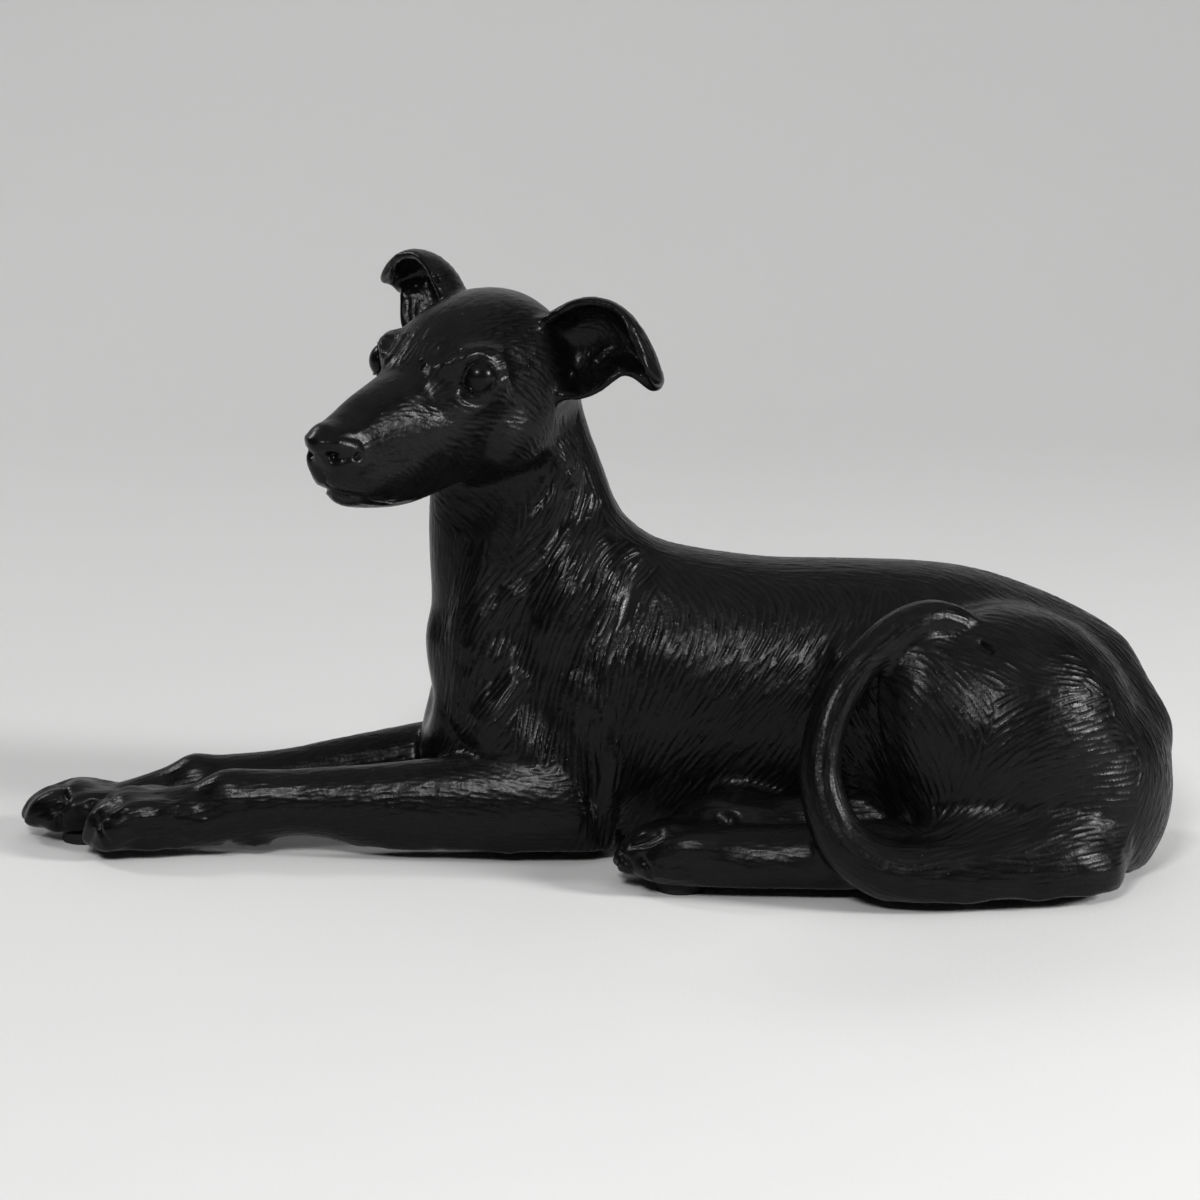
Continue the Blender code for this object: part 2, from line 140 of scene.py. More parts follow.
def meshFinely(obj, voxel, smoothing):
    fuse = obj.modifiers.new("fine mesh", "REMESH")
    fuse.mode = "VOXEL"
    fuse.voxel_size = voxel * mm
    smooth = obj.modifiers.new("smooth", "SMOOTH")
    smooth.iterations = smoothing
    smooth.factor = skinSettings["smoothFactor"]
    applyAll(obj)


def readForm(obj):  # places in drawn millimetres, and the way each one faces
    count = len(obj.data.vertices)
    places = np.empty(count * 3, np.float32)
    facing = np.empty(count * 3, np.float32)
    obj.data.vertices.foreach_get("co", places)
    obj.data.vertices.foreach_get("normal", facing)
    return {
        "places": places.reshape(-1, 3).astype(np.float64) / mm - origin,
        "facing": facing.reshape(-1, 3).astype(np.float64),
        "relief": np.zeros(count),
    }


def writeForm(obj, form):
    layer = obj.data.attributes.new("relief", "FLOAT", "POINT")
    layer.data.foreach_set("value", form["relief"].astype(np.float32))
    places = ((form["places"] + origin) * mm).astype(np.float32)
    obj.data.vertices.foreach_set("co", places.ravel())
    obj.data.update()


eyeSettings = {
    "place": (21, 13.3, 1.8),  # forward, outward and up from the head's centre
    "radius": 4.5,
    "segments": 48,
    "rings": 32,
    "gaze": (0.68, 0.72, 0.12),
    "openingWidth": 3.7,  # half, mm
    "upperLid": 3.4,
    "lowerLid": 3.2,
    "tearCorner": 1.5,  # how much further the opening reaches towards the nose
    # The lids' profile: share of the opening's half width, then height over the eyeball in mm
    "profile": [
        (0, -1.4), (0.92, -1.4), (1.0, 0.15), (1.09, 0.55),
        (1.18, 0.1), (1.36, -0.2), (1.6, 0.5), (2.15, 1.6),
    ],
    "reach": 13,  # mm from the ball's centre that the lids may shape
    "front": 0.3,  # mm before the ball's centre, from where they shape it
    "cornerAt": 2.75,  # radians, where the tear corner lies round the opening
    "cornerSpread": 0.32,
    "blendTo": 2.15,  # share of the half width where the lids have faded into the head
    "blendOver": 0.95,
}


def eyeFrame(side):
    s = eyeSettings
    centre = onHead((s["place"][0], side * s["place"][1], s["place"][2]))
    turn = headMatrix.to_3x3()
    gaze = Vector((s["gaze"][0], side * s["gaze"][1], s["gaze"][2])).normalized()
    across = gaze.cross(Vector((0, 0, 1))).normalized()
    upward = across.cross(gaze)
    return centre, np.array(turn @ gaze), np.array(turn @ across), np.array(turn @ upward)


def shapeEyes(form):
    s = eyeSettings
    shares, heights = zip(*s["profile"])
    for side in (1, -1):
        centre, gaze, across, upward = eyeFrame(side)
        away = form["places"] - centre
        reach = np.linalg.norm(away, axis=1)
        near = np.flatnonzero((reach < s["reach"]) & (away @ gaze > s["front"]))
        d = away[near]
        x, y = d @ across * -side, d @ upward
        angle = np.arctan2(y, x)
        corner = np.exp(-(np.abs(angle + s["cornerAt"]) / s["cornerSpread"]) ** 2)
        width = s["openingWidth"] + s["tearCorner"] * corner
        height = np.where(y > 0, s["upperLid"], s["lowerLid"])
        width += (s["openingWidth"] - height) * -np.abs(np.sin(angle)) ** 2
        r = np.hypot(x, y) / width
        target = s["radius"] + np.interp(r, shares, heights)
        fade = np.clip((s["blendTo"] - r) / s["blendOver"], 0, 1)
        share = fade * fade * (3 - 2 * fade)
        new = reach[near] * (1 - share) + target * share
        form["places"][near] = centre + d * (new / reach[near])[:, None]


# The fur: short engraved strokes, laid along lines that are drawn the way the hair lies

furSettings = {
    "seed": 7,
    "tries": 130000,
    "gap": 0.60,  # mm, half of what parts two neighbouring strokes
    "headGap": 0.52,
    "halfWidth": 0.50,
    "headHalfWidth": 0.46,
    "lip": 0.35,  # share of the depth that is raised beside a stroke
    "step": 1.0,
    "waver": 9,  # degrees that one stroke may stray from the lie
    "headFrom": 90,  # mm up, from where the head's finer strokes are used
    "leastDepth": 0.03,  # mm, where the fur is shallower no stroke starts
    "vary": (0.7, 1.25),  # share of its length and depth that one stroke may have
    "middle": -4,  # the body's middle plane, along Y
    "bodyGuideStep": 4,  # mm
    "fineGuideStep": 3,
    "tailStroke": (8, 0.12),
    "sampleReach": 0.3,
    "lipAt": 1.35,  # half widths from the stroke's middle
    "lipSpread": 0.35,
    "fullRelief": 0.2,  # mm of depth that the finish shows as a full stroke
    "taperFrom": 0.04,  # where a stroke starts on the curve that tapers it, and how much of it is used
    "taperSpan": 0.92,
    "taperPower": 0.7,
    "blendOver": 4,  # square mm, how far the lie of one line passes into the next
    "blendPower": 3,
    "batch": 4000,  # places that are worked out at once
}

# Each line of the lie: a stroke's length and depth in mm, then drawn places from root to tip
nearBodyLie = [
    (8, 0.10, [
        (-4, -2, 104), (0, -3, 90), (8, -5, 78), (20, -4, 72), (40, -6, 70), (60, -9, 69), (80, -17, 68),
    ]),
    (8, 0.16, [(80, -17, 68), (101, -38, 63), (116, -46, 51), (129, -44, 31), (125, -52, 11)]),
    (9, 0.24, [(16, -12, 70), (24, -20, 61), (22, -24, 51), (16, -26, 38), (9, -26, 22)]),
    (11, 0.28, [(32, -14, 67), (39, -20, 60), (35, -25, 50), (26, -27, 36), (15, -26, 20)]),
    (11, 0.28, [(50, -18, 65), (54, -22, 60), (47, -28, 48), (37, -29, 36), (27, -29, 24)]),
    (9, 0.24, [(64, -22, 63), (62, -26, 56), (54, -30, 44), (46, -30, 30)]),
    (8, 0.22, [(4, -25, 50), (2, -27, 37), (2, -27, 22)]),
    (13, 0.34, [
        (-6, -12, 94), (-11, -16, 80), (-19, -19, 71), (-26, -18, 64), (-32, -18, 52), (-35, -18, 38),
    ]),
    (14, 0.36, [(0, -11, 86), (-5, -14, 77), (-10, -20, 68), (-14, -21, 60), (-18, -23, 48)]),
    (14, 0.36, [(8, -10, 76), (0, -16, 72), (-4, -21, 64), (-8, -23, 56), (-12, -24, 44), (-15, -26, 30)]),
    (13, 0.34, [(12, -14, 70), (8, -17, 66), (5, -21, 58), (1, -25, 50), (0, -26, 42)]),
    (7, 0.10, [(-36, -8, 86), (-30, -13, 82), (-23, -16, 76), (-20, -18, 70)]),
    (7, 0.05, [(-39, -7, 76), (-39, -9, 60), (-39, -13, 45), (-40, -12, 32)]),
    (9, 0.30, [(-1, -27, 42), (-2, -27, 30), (-2, -28, 20), (-2, -28, 9)]),
    (10, 0.36, [(7, -26, 38), (4, -27, 28), (2, -27, 18), (0, -27, 8)]),
    (9, 0.20, [(-30, -14, 74), (-34, -13, 62), (-37, -15, 48)]),
    (10, 0.28, [(-20, -24, 46), (-27, -24, 35), (-34, -21, 27)]),
]
farBodyLie = [
    (7, 0.26, [(84, 4, 66), (100, 8, 56), (112, 12, 40), (120, 12, 20)]),
    (7, 0.26, [(70, 16, 58), (84, 22, 44), (96, 24, 26), (104, 24, 10)]),
]
limbLie = [
    (6, 0.10, [
        (4, -28, 16), (-13, -31, 16), (-39, -28, 20), (-68, -26, 18), (-92, -26, 16), (-122, -24, 10),
    ]),
    (6, 0.10, [
        (-4, 26, 16), (-26, 24, 18), (-45, 12, 22), (-62, 8, 21),
        (-82, 2, 19), (-105, -3, 15), (-134, -6, 10),
    ]),
    (6, 0.10, [(64, -61, 12), (33, -60, 13), (18, -59, 14), (6, -53, 8)]),
    (6, 0.12, [(56, -44, 20), (40, -44, 19), (18, -40, 14)]),
    (9, 0.24, [(60, -51, 55), (72, -54, 53), (79, -57, 46), (84, -59, 38), (84, -60, 30), (80, -60, 22)]),
    (9, 0.24, [(64, -51, 48), (71, -56, 40), (76, -58, 30), (79, -59, 21)]),
    (9, 0.24, [(60, -46, 38), (66, -49, 31), (71, -52, 22), (76, -57, 16)]),
    (9, 0.18, [(84, -42, 62), (93, -47, 61), (102, -52, 56), (113, -48, 52), (122, -46, 42)]),
    (10, 0.19, [(118, -50, 45), (104, -58, 43), (94, -60, 38), (86, -60, 29), (80, -60, 20)]),
    (10, 0.18, [(124, -50, 33), (112, -57, 33), (97, -61, 30), (88, -61, 23), (80, -63, 17)]),
    (10, 0.17, [(124, -53, 20), (110, -60, 21), (97, -65, 18), (86, -68, 15), (76, -70, 13)]),
    (9, 0.15, [(122, -54, 8), (110, -66, 10), (96, -70, 9), (80, -72, 11)]),
]
tailPath = [
    (104, -54, 10), (91, -61, 9), (77, -65, 8), (64, -66, 10), (54.5, -64.5, 17.5), (50.5, -61, 30),
    (52.5, -57, 43), (58.5, -52.5, 53), (67, -48, 60.5), (75, -44.5, 63.6), (82, -42, 62.4),
    (91, -40.5, 57.2),
]
# The same for the head: forward, outward and up from its centre, and mirrored to the other side
headLie = [
    (4, 0.035, [(60, 2, -6), (54, 4, -5), (46, 4, -2)]),
    (6, 0.06, [(46, 4, -2), (37, 6, 0), (29, 6, 6), (18, 4, 14), (4, 4, 18), (-14, 4, 15)]),
    (6, 0.12, [(31, 8, 3), (24, 11, 9), (14, 13, 11), (4, 14, 10), (-8, 16, 7)]),
    (6, 0.07, [(56, 7, -11), (49, 8, -9), (42, 9, -8), (36, 11, -11), (30, 12, -17), (26, 12, -24)]),
    (7, 0.13, [(40, 8, -3), (32, 12, -6), (24, 16, -8), (14, 18, -9), (4, 19, -12), (-4, 19, -20)]),
    (6, 0.07, [(54, 6, -18), (46, 8, -20), (40, 9, -24), (36, 8, -28)]),
    (7, 0.16, [(28, 12, -12), (20, 15, -15), (12, 17, -19), (4, 17, -24), (-2, 15, -30)]),
    (5, 0.08, [(48, 5, -26), (36, 6, -28), (22, 10, -28), (8, 12, -29)]),
    (6, 0.18, [(25, 5, 10), (29, 5, 7), (33, 6, 2)]),
    (6, 0.18, [(12, 17, 4), (5, 18, 2), (-2, 19, -5), (-4, 18, -18)]),
    (6, 0.16, [(13, 18, -3), (7, 19, -8), (2, 19, -14), (-2, 18, -21)]),
    (6, 0.20, [(10, 17, -16), (4, 18, -20), (-1, 17, -27)]),
    (6, 0.26, [(-4, 18, -10), (-10, 17, -20), (-14, 14, -30)]),
    (6, 0.16, [(-16, 8, 12), (-22, 8, 0), (-22, 8, -16)]),
    (6, 0.20, [(-3, 18, 12), (-10, 28, 16), (-17, 36, 6)]),
]


def smoothLine(points, spacing):  # places at even steps along a smooth curve through the points
    rows = np.array(points, float)
    rows = np.vstack([2 * rows[0] - rows[1], rows, 2 * rows[-1] - rows[-2]])
    made = []
    for a, b, c, d in zip(rows, rows[1:], rows[2:], rows[3:]):
        count = max(int(np.linalg.norm(c - b) / spacing), 1)
        for t in np.arange(count) / count:
            made.append(0.5 * (2 * b + (c - a) * t + (2 * a - 5 * b + 4 * c - d) * t**2
                               + (3 * b - a - 3 * c + d) * t**3))
    made.append(rows[-2])
    return np.array(made)


def combGuides():  # many places with the hair's direction, stroke length and depth there
    s = furSettings
    lines = [
        (long, deep, smoothLine(points, s["bodyGuideStep"]))
        for long, deep, points in nearBodyLie + farBodyLie + limbLie
    ]
    for long, deep, points in nearBodyLie:
        line = smoothLine(points, s["bodyGuideStep"])
        line[:, 1] = 2 * s["middle"] - line[:, 1]
        lines.append((long, deep, line))
    lines.append((*s["tailStroke"], smoothLine(tailPath, s["fineGuideStep"])))
    for long, deep, points in headLie:
        for side in (1, -1):
            line = smoothLine(points, s["fineGuideStep"]) * (1, side, 1)
            lines.append((long, deep, np.array([onHead(point) for point in line])))
    places, ways, longs, deeps = [], [], [], []
    for long, deep, line in lines:
        way = np.diff(line, axis=0)
        places.append((line[1:] + line[:-1]) / 2)
        ways.append(way / np.linalg.norm(way, axis=1)[:, None])
        longs += [long] * len(way)
        deeps += [deep] * len(way)
    return np.vstack(places), np.vstack(ways), np.array(longs), np.array(deeps)


def lieOfFur(places, facing):  # the hair's direction on the surface, and the strokes' length and depth
    s = furSettings
    guides, ways, longs, deeps = combGuides()
    outer = (ways[:, :, None] * ways[:, None, :]).reshape(-1, 9)
    lie, long, deep = np.zeros_like(places), np.zeros(len(places)), np.zeros(len(places))
    for first in range(0, len(places), s["batch"]):
        part = slice(first, first + s["batch"])
        apart = ((places[part][:, None, :] - guides[None]) ** 2).sum(2)
        share = 1 / (apart + s["blendOver"]) ** s["blendPower"]
        share /= share.sum(1)[:, None]
        out = facing[part]
        flat = np.eye(3)[None] - out[:, :, None] * out[:, None, :]
        spread = (share @ outer).reshape(-1, 3, 3)
        _, vectors = np.linalg.eigh(flat @ spread @ flat)
        way = vectors[:, :, 2]
        mean = share @ ways
        way *= np.where((way * mean).sum(1) < 0, -1, 1)[:, None]
        lie[part], long[part], deep[part] = way, share @ longs, share @ deeps
    return lie, long, deep


# Where there is no fur, in mm: low down, an oval at the nose, a ball round each eye, and the ear cups.
# The head's places are forward, outward and up from its centre
bareSettings = {
    "lowTo": 3.4,
    "lowFade": 1.5,
    "nose": (61.5, 0, -11),
    "noseHalf": (7, 8.5, 7),
    "noseFade": 0.3,
    "eyeAhead": 1.5,  # along the gaze
    "eyeRadius": 5.6,
    "eyeFade": 1.5,
    "earRoot": (-2, 17.4, 1),
    "earTurn": 125,  # degrees from straight ahead
    "earFrom": 1,
    "earTo": 60,
    "earLowest": -14,
    "cupFaces": (0.82, 0.57, 0),
    "cupTurn": -0.1,
}


def bareShare(places, facing):  # 0 where there is no fur
    b = bareSettings
    keep = np.clip((places[:, 2] - b["lowTo"]) / b["lowFade"], 0, 1)
    inverse = np.array(headMatrix.inverted())
    local = places @ inverse[:3, :3].T + inverse[:3, 3]
    nose = np.linalg.norm((local - b["nose"]) / b["noseHalf"], axis=1)
    keep *= np.clip((nose - 1) / b["noseFade"], 0, 1)
    turn = math.radians(b["earTurn"])
    for side in (1, -1):
        centre, gaze, _, _ = eyeFrame(side)
        apart = np.linalg.norm(places - centre - gaze * b["eyeAhead"], axis=1)
        keep *= np.clip((apart - b["eyeRadius"]) / b["eyeFade"], 0, 1)
        ear = local * (1, side, 1) - b["earRoot"]
        along = ear @ (math.cos(turn), math.sin(turn), 0)
        front = facing @ inverse[:3, :3].T * (1, side, 1) @ b["cupFaces"]
        cup = (along > b["earFrom"]) & (along < b["earTo"]) & (ear[:, 2] > b["earLowest"])
        keep[cup & (front > b["cupTurn"])] = 0
    return keep


def layStrokes(base):
    s = furSettings
    rng = np.random.default_rng(s["seed"])
    form = readForm(base)
    faces = np.array([face.vertices[:] for face in base.data.polygons])
    tree = BVHTree.FromPolygons([tuple(p) for p in form["places"]], [tuple(f) for f in faces])
    lie, long, deep = lieOfFur(form["places"], form["facing"])
    deep = deep * bareShare(form["places"], form["facing"])
    corners = form["places"][faces]
    area = np.linalg.norm(np.cross(corners[:, 1] - corners[:, 0], corners[:, 2] - corners[:, 0]), axis=1)
    chosen = rng.choice(len(faces), s["tries"], p=area / area.sum())
    jitter = rng.dirichlet((1, 1, 1), s["tries"])
    seeds = (corners[chosen][:, :3] * jitter[:, :, None]).sum(1)
    taken = {}
    strokes = []
    wander = np.radians(rng.uniform(-s["waver"], s["waver"], s["tries"]))
    vary = rng.uniform(*s["vary"], (s["tries"], 2))
    for seed, face, stray, (longer, deeper) in zip(seeds, chosen, wander, vary):
        vertex = faces[face][0]
        if deep[vertex] < s["leastDepth"]:
            continue
        gap = s["headGap"] if seed[2] > s["headFrom"] else s["gap"]
        cell = tuple(np.floor(seed / gap).astype(int))
        if cell in taken:
            continue
        half = max(int(long[vertex] * longer / 2 / s["step"]), 1)
        arms = []
        for sign in (1, -1):
            place, near = Vector(seed), vertex
            arm = []
            for k in range(half):
                way = lie[near] * sign
                side = np.cross(form["facing"][near], way)
                bend = stray * (k + 1) / half
                way = way * math.cos(bend) + side * math.sin(bend)
                place, out, index, _ = tree.find_nearest(place + Vector(way) * s["step"])
                near = faces[index][0]
                arm.append((np.array(place), near))
            arms.append(arm)
        points = [p for p, _ in reversed(arms[1])] + [seed] + [p for p, _ in arms[0]]
        inner = points[1:-1] if len(points) > 4 else points
        cells = {tuple(np.floor(p / gap).astype(int)) for p in inner}
        if any(c in taken for c in cells):
            continue
        for x, y, z in cells:
            for i in (-1, 0, 1):
                taken[(x + i, y, z)] = taken[(x, y + i, z)] = taken[(x, y, z + i)] = True
        strokes.append((points, deep[vertex] * deeper))
    print("fur laid:", len(strokes), "strokes")
    return strokes


def strokeSamples(strokes):  # each stroke as close samples: place, direction and depth, tapered to its ends
    s = furSettings
    places, ways, deeps = [], [], []
    for points, deep in strokes:
        line = np.array(points)
        fine = np.repeat(line, 2, axis=0)[:-1]
        fine[1::2] = (line[1:] + line[:-1]) / 2
        way = np.gradient(fine, axis=0)
        way /= np.maximum(np.linalg.norm(way, axis=1), 1e-9)[:, None]
        share = np.linspace(0, 1, len(fine))  # along the stroke, which is shallow at both ends
        curve = np.clip(share * s["taperSpan"] + s["taperFrom"], 0, 1)
        places.append(fine)
        ways.append(way)
        deeps.append(deep * np.sin(math.pi * curve) ** s["taperPower"])
    places, ways, deeps = np.vstack(places), np.vstack(ways), np.concatenate(deeps)
    tree = KDTree(len(places))
    for k, place in enumerate(places):
        tree.insert(place, k)
    tree.balance()
    return {"places": places, "ways": ways, "deeps": deeps, "tree": tree}


def engrave(form, samples):
    s = furSettings
    find = samples["tree"].find
    index = np.array([find(place)[1] for place in form["places"]])
    away = form["places"] - samples["places"][index]
    ways = samples["ways"][index]
    out = form["facing"]
    along = (away * ways).sum(1)
    level = away - along[:, None] * ways
    level -= (level * out).sum(1)[:, None] * out
    width = np.where(samples["places"][index, 2] > s["headFrom"], s["headHalfWidth"], s["halfWidth"])
    beyond = np.clip(np.abs(along) - s["sampleReach"], 0, None)
    across = np.sqrt((level ** 2).sum(1) + beyond ** 2) / width
    groove = np.clip(1 - across**2, 0, 1) ** 2
    lip = s["lip"] * np.exp(-((across - s["lipAt"]) / s["lipSpread"]) ** 2)
    form["places"] -= out * (samples["deeps"][index] * (groove - lip))[:, None]
    form["relief"] = (lip - groove) * np.clip(samples["deeps"][index] / s["fullRelief"], 0, 1)


# Marks pressed into the form, or raised where the depth is below nought: width and depth in mm, then
# the drawn places of one point or of a line

bodyMarks = [
    # neck, ruff and shoulder
    (1.0, 0.9, [(-9.5, -15.4, 98.4), (-10.5, -15.8, 93.7), (-12.4, -16, 88.9), (-16, -17, 84)]),
    (2.2, -0.8, [(-7.1, -14.5, 93.3), (-6, -14, 89)]),
    (3.2, -1.2, [(-19, -17, 68), (-21.5, -17.9, 63.3), (-28, -18.5, 56), (-32.5, -19, 47)]),
    (3.5, 0.6, [(-13, -20, 66), (-17, -21, 58), (-20, -22, 50)]),
    (3.0, -1.1, [(-18, -23, 46), (-22.5, -23, 40), (-28.9, -24.2, 31)]),
    (3.0, 0.5, [(-27, -21, 46), (-27, -21, 42), (-31, -21, 36)]),
    (3.5, -0.6, [(-8, -25, 47), (-6.4, -25.2, 42.9), (-1.7, -27.2, 38.3), (0, -28, 34)]),
    (3.2, -0.25, [(8, -13.5, 71), (3.3, -17.5, 66), (1.8, -21, 60), (1.7, -24.3, 51.7)]),
    (2.4, 0.4, [(14, -12, 70), (8.5, -17, 64), (5.5, -22, 56), (4.5, -25, 48)]),
    (7.0, -0.7, [(16.4, -23.7, 51)]),
    (1.2, 0.9, [(-2.4, -26.6, 30), (-1.6, -27.4, 20.6), (-1.9, -28.9, 12)]),
    (1.4, 0.4, [(-38.6, -14.1, 37.1), (-33.7, -18.9, 28.3), (-28.7, -25.2, 25)]),
    # near forepaw
    (4.5, -1.0, [(-113.6, -18.3, 15.6)]),
    (3.5, -0.8, [(-120.3, -18.8, 12.6)]),
    (4.5, -0.9, [(-116.5, -29.8, 9.4)]),
    (3.0, -0.6, [(-122, -24.2, 10.3)]),
    (0.8, 0.9, [(-125, -13.4, 10.4), (-122.8, -13.5, 11.5), (-119.4, -18.2, 13.5), (-115.9, -24.3, 14.6)]),
    (0.7, -0.5, [(-117.2, -28.2, 11.7), (-115.1, -28.7, 12.8), (-112.7, -28.4, 14.5)]),
    (0.7, 0.7, [(-120.8, -24.2, 11.6), (-118.8, -26.7, 11.1), (-116.6, -28.8, 11.6), (-114.1, -29.3, 12.7)]),
    (0.7, 0.9, [(-120.2, -25.1, 11.1), (-119.4, -28.4, 9), (-118, -29.9, 7), (-117.5, -30, 4.5)]),
    (1.0, 0.6, [(-113, -30, 8.2), (-108.6, -29.8, 9.5), (-102.8, -29, 9.7)]),
    (0.9, -0.5, [(-107.2, -29.5, 13.3), (-102.8, -27.7, 14.3), (-98.3, -24.5, 15.6)]),
    (0.8, -0.4, [(-110.7, -29.9, 11.9), (-105, -29.4, 12), (-101.1, -28, 13.1)]),
    (5.0, -1.0, [(-91, -22.5, 20)]),
    (1.3, 1.6, [(-89.5, -32, 3), (-89.5, -18, 3)]),
    # far forepaw
    (5.0, -0.8, [(-136.4, -8.1, 10.5)]),
    (4.0, -1.2, [(-127.7, -3.4, 13)]),
    (2.5, -0.8, [(-128.9, -12.9, 10.5)]),
    (1.0, 1.3, [
        (-131.5, -5.7, 13), (-131, -9, 12.2), (-129.8, -11.5, 11.4), (-131, -12.6, 10), (-134.1, -11.3, 8.6),
    ]),
    (1.0, 1.2, [(-131.3, -13.2, 8.8), (-131.8, -13.7, 6.5), (-131.1, -12.4, 3.6)]),
    (2.0, 0.9, [(-133, 1, 12), (-131.8, -3, 13), (-131.5, -6, 12.8)]),
    (5.0, -1.9, [(-100, -1.5, 18.5)]),
    (4.0, 0.6, [(-108, -6, 14)]),
    # near hind paw
    (3.0, -0.8, [(10.5, -50.5, 14.2)]),
    (3.0, -0.8, [(16.7, -53.1, 15.9)]),
    (0.8, -0.6, [(8.1, -54, 10.4), (11.6, -56.4, 11.8), (13.9, -57.4, 13.2), (16.4, -58, 14.6)]),
    (0.8, 0.7, [(6.5, -51.7, 11.2), (9.3, -53.5, 12.4), (12.1, -54.4, 13.8), (14.8, -54.1, 15.2)]),
    (0.8, 0.9, [(4, -47.5, 10), (4.9, -48.7, 8.9), (6, -53.3, 7.8), (7.4, -53.6, 4.9)]),
    (0.7, 0.7, [(9.7, -55.8, 9.4), (11.1, -58.7, 7.9), (12, -58.4, 4.9)]),
    (0.9, 0.5, [(12.7, -59.2, 9.4), (16.2, -59.7, 8.6), (20.8, -60.2, 8.8)]),
    (0.9, -0.4, [(11.6, -58.9, 6.5), (17.4, -58.7, 5.5), (23.1, -60.3, 5.9)]),
    # far hind foot
    (4.0, -1.2, [(27, -43.5, 19)]),
    (2.6, -1.8, [(24.5, -47.3, 17)]),
    (2.2, 2.2, [(30.3, -48.3, 17)]),
    (0.8, 0.7, [(24, -44.8, 18.6), (27, -45, 19), (30.5, -44.8, 18.9)]),
    (3.0, -0.8, [(28.7, -30, 18.7)]),
    (0.7, 0.7, [(21.1, -43.7, 17.2), (22.7, -45.5, 16.2), (24.9, -50, 16.6)]),
    (0.6, 0.5, [(24.7, -42.5, 19), (28.7, -41.5, 19), (31.1, -45.5, 18.6)]),
    # tail's end
    (1.0, 0.9, [(86.8, -47.3, 59.3), (88.8, -49.7, 58), (90.6, -51.3, 56.7)]),
    (0.8, -0.5, [(84, -43.5, 64), (89, -43, 62), (93, -42.5, 59)]),
]
# From here on: forward, outward and up from the head's centre. These are on both sides
faceMarks = [
    # nose
    (1.2, 1.8, [(61.2, 3.1, -13.1)]),
    (0.6, 0.35, [(60, 4.6, -13.4), (58.4, 6, -13.4), (56.9, 7.2, -13.1)]),
    (0.8, 0.9, [(56.9, 7.2, -13.1)]),
    (0.9, 0.25, [
        (60.7, 4.6, -8.2), (58.5, 5.7, -8.6), (55.8, 6.6, -9.3), (54.7, 7.4, -11.8), (55.6, 7.5, -14.6),
    ]),
    (0.8, -0.3, [(64.6, 0.5, -9.6), (62.8, 3.5, -9.6), (60.4, 5.3, -9.8)]),
    # lips and chin
    (0.45, 0.6, [
        (57.2, 0.6, -21.8), (55.6, 3.3, -22.5), (52.2, 5, -24.1), (46.7, 4.8, -25.9), (40.5, 4, -27.2),
    ]),
    (0.4, -0.3, [(57.2, 0.6, -22.7), (55.4, 3.2, -23.4), (52, 4.8, -25), (46.6, 4.5, -26.7)]),
    (1.2, -0.5, [(40, 5.5, -25.6), (34, 6.4, -25.8)]),
    (0.7, -0.5, [(30.8, 6.6, -25.9)]),
    (0.8, -0.6, [(12.6, 7.4, -24.2)]),
    # brow
    (1.4, -0.7, [(31.3, 6.5, 3.1), (30.3, 5.3, 5.1), (29.7, 4.8, 5.9), (26.6, 5.2, 8.4), (24.3, 6, 9.9)]),
    (2.0, 0.7, [(28.5, 8.8, 5), (26.4, 9.2, 7.5), (23.6, 9.8, 8.8)]),
    (0.6, 0.3, [(29.1, 5.8, 6), (26.5, 6, 8), (24.5, 6.7, 9.3)]),
    (0.6, 0.3, [(30.4, 4.2, 5.6), (28, 4.3, 7.7), (25.5, 4.9, 9.4)]),
    # lids and the creases round them
    (0.6, -0.6, [(27.3, 11.8, 5.4), (25.2, 13.2, 7.4), (22.5, 14.8, 8.1), (19.5, 16.8, 6.8)]),
    (0.45, 0.4, [(28.6, 10.9, -0.9), (27.2, 12.8, -2.6), (24.7, 14.5, -4.1), (21, 16.3, -4.6)]),
    (0.45, 0.3, [(29.5, 11.2, -3), (27, 13.2, -5), (24, 15, -6)]),
    (0.45, 0.4, [(18.2, 18.1, 1.2), (16, 18.4, 2.4)]),
]
middleMarks = [
    (0.5, 0.7, [(64.3, 0, -12.5), (62.5, 0, -16), (60, 0, -19), (57.5, 0, -21)]),
    (1.2, 0.35, [(31, 0, 4), (24, 0, 10.5), (16, 0, 14.5)]),
]
nearEarMarks = [
    (0.8, -0.9, [(-7.4, 26.7, -0.3), (-10.9, 23.5, 2.2), (-12.3, 24.7, 4.6), (-13.3, 26.8, 6.9)]),
    (0.6, -0.7, [(-7.9, 33, 2.6), (-10.5, 28.9, 3.4), (-11.3, 25.3, 2.9)]),
    (0.7, -0.7, [
        (-2.6, 18.5, 0.6), (-6.9, 18.3, 0.8), (-8.4, 19.6, -0.5), (-5.5, 22.9, -2.5), (-3.4, 26.8, -3.8),
    ]),
    (0.6, -0.5, [
        (-5.9, 33.7, 16.5), (-5.9, 36.2, 12.6), (-6.6, 37.6, 8.6), (-7.5, 40.4, 4.4), (-13.1, 40.5, -1),
    ]),
    (0.7, 0.6, [(-9, 33, 14), (-9, 34.6, 10), (-9.5, 36, 6)]),
    (0.6, -0.5, [(-13.6, 27.9, 10), (-13, 31, 7), (-12.2, 34, 4)]),
]
farEarMarks = [
    (0.6, 0.9, [(1.6, -15, 20.4), (2, -14.1, 19.1), (2.1, -13.4, 18)]),
    (0.7, -0.6, [(-6, -31.2, 11.8), (-8.4, -30.1, 13.9), (-10.5, -28.8, 15.6)]),
    (0.6, -0.5, [(-10.8, -28.4, 18), (-10.3, -27.4, 16), (-9.7, -26.8, 14.2)]),
]


